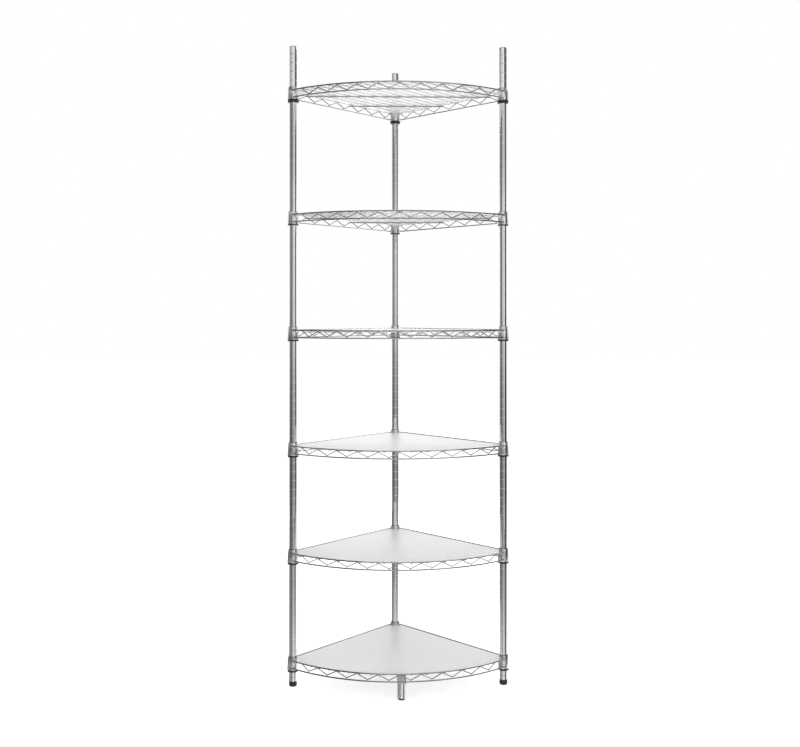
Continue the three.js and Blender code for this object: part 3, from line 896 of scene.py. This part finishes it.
def wall_panels(name, levels):
    """Panels whose levels change with their height."""
    material, tree, glow, place = glow_material(name)
    axes = tree.nodes.new("ShaderNodeSeparateXYZ")
    height = tree.nodes.new("ShaderNodeMapRange")
    height.inputs["From Min"].default_value = WALL_FOOT
    height.inputs["From Max"].default_value = WALL_TOP
    tree.links.new(place, axes.inputs["Vector"])
    tree.links.new(axes.outputs["Z"], height.inputs["Value"])
    shares = [((at - WALL_FOOT) / (WALL_TOP - WALL_FOOT), share) for at, share in HEIGHT_SHARES]
    tree.links.new(level_nodes(tree, height.outputs["Result"], shares), glow.inputs["Strength"])
    tree.links.new(panels(tree, place, levels), glow.inputs["Color"])
    return material


def disc_panels(name, levels):
    """Panels that fade into one level in the middle of the disc."""
    material, tree, glow, place = glow_material(name)
    flat = tree.nodes.new("ShaderNodeVectorMath")
    flat.operation = "MULTIPLY"
    flat.inputs[1].default_value = (1, 1, 0)
    distance = tree.nodes.new("ShaderNodeVectorMath")
    distance.operation = "LENGTH"
    outwards = tree.nodes.new("ShaderNodeMapRange")
    outwards.inputs["From Max"].default_value = DISC_MIDDLE_SHARE * CARD_RADIUS
    mix = tree.nodes.new("ShaderNodeMix")
    mix.inputs["A"].default_value = DISC_MIDDLE_LEVEL
    tree.links.new(place, flat.inputs[0])
    tree.links.new(flat.outputs["Vector"], distance.inputs[0])
    tree.links.new(distance.outputs["Value"], outwards.inputs["Value"])
    tree.links.new(outwards.outputs["Result"], mix.inputs["Factor"])
    tree.links.new(panels(tree, place, levels), mix.inputs["B"])
    tree.links.new(mix.outputs["Result"], glow.inputs["Color"])
    return material


def reflection_card(name, bm, material):
    """A card that neither lights nor shades the object, so that only the chrome shows it."""
    card = stage_object(name, bm, material)
    card.visible_camera = False
    card.visible_diffuse = False
    card.visible_transmission = False
    card.visible_shadow = False


def make_wall(name, foot, top, levels):
    wall = bmesh.new()
    bmesh.ops.create_circle(wall, cap_ends=False, radius=CARD_RADIUS, segments=CARD_STEPS)
    raised = bmesh.ops.extrude_edge_only(wall, edges=wall.edges[:])["geom"]
    bmesh.ops.translate(wall, vec=(0, 0, top - foot), verts=verts_of(raised))
    bmesh.ops.translate(wall, vec=(0, 0, foot), verts=wall.verts)
    reflection_card(name, wall, wall_panels(f"{name}_panels", levels))


def make_disc(name, height, levels):
    disc = bmesh.new()
    bmesh.ops.create_circle(disc, cap_ends=True, radius=CARD_RADIUS, segments=CARD_STEPS)
    bmesh.ops.translate(disc, vec=(0, 0, height), verts=disc.verts)
    reflection_card(f"{name}_card", disc, disc_panels(f"{name}_panels", levels))


def make_world():
    """White to the camera, and a little less bright as light on the object."""
    world = bpy.data.worlds.new("studio")
    bpy.context.scene.world = world
    world.use_nodes = True
    tree = world.node_tree
    background = next(node for node in tree.nodes if node.type == "BACKGROUND")
    background.inputs["Color"].default_value = (1, 1, 1, 1)
    strength = tree.nodes.new("ShaderNodeMapRange")
    strength.inputs["To Min"].default_value = WORLD_LIGHT
    strength.inputs["To Max"].default_value = 1.0
    tree.links.new(seen_directly(tree), strength.inputs["Value"])
    tree.links.new(strength.outputs["Result"], background.inputs["Strength"])


def soft_lamp(name, size, energy, place, aim):
    light = bpy.data.lights.new(name, "AREA")
    light.shape = "RECTANGLE"
    light.size, light.size_y = size
    light.energy = energy
    lamp = bpy.data.objects.new(name, light)
    lamp.location = place
    lamp.rotation_euler = (Vector(aim) - lamp.location).to_track_quat("-Z", "Y").to_euler()
    lamp.visible_camera = False
    lamp.visible_glossy = False
    bpy.context.scene.collection.objects.link(lamp)


make_wall("lower_wall", WALL_FOOT, LOWER_TOP, LOWER_LEVELS)
make_wall("round_wall", LOWER_TOP, UPPER_FOOT, WALL_LEVELS)
make_wall("upper_wall", UPPER_FOOT, WALL_TOP, UPPER_LEVELS)
make_disc("ceiling", WALL_TOP, CEILING_LEVELS)
make_disc("ground", WALL_FOOT, GROUND_LEVELS)
make_floor()
make_world()
soft_lamp("soft_top", size=(2.4, 2.4), energy=14, place=(0.2, 0.3, 3.6), aim=(0, 0, 0.9))
soft_lamp("low_bounce", size=(3.0, 0.3), energy=32, place=(-0.1, -2.3, 0.17), aim=(0, 0, 1.6))
soft_lamp("soft_back", size=(3.0, 0.4), energy=14, place=(0, 2.6, 0.8), aim=(0, 0, 0.4))


# Camera, at the photograph's viewing angle. It stands in the plan of the posts, in metres and radians.
SENSOR_WIDTH = 36
LENS = 42.792
SHIFT = (0.01729, -0.08381)
CAMERA_PLACE = Vector((-0.09173, -2.72745, 1.06194))
CAMERA_TILT = 0.00734
CAMERA_TURN = -0.02076

camera_data = bpy.data.cameras.new("camera")
camera_data.sensor_width = SENSOR_WIDTH
camera_data.lens = LENS
camera_data.shift_x, camera_data.shift_y = SHIFT
camera = bpy.data.objects.new("camera", camera_data)
camera.location = CAMERA_PLACE + PLAN * MM
camera.rotation_euler = (math.pi / 2 + CAMERA_TILT, 0, CAMERA_TURN)
bpy.context.scene.collection.objects.link(camera)
bpy.context.scene.camera = camera

bpy.context.scene.view_settings.view_transform = "Standard"
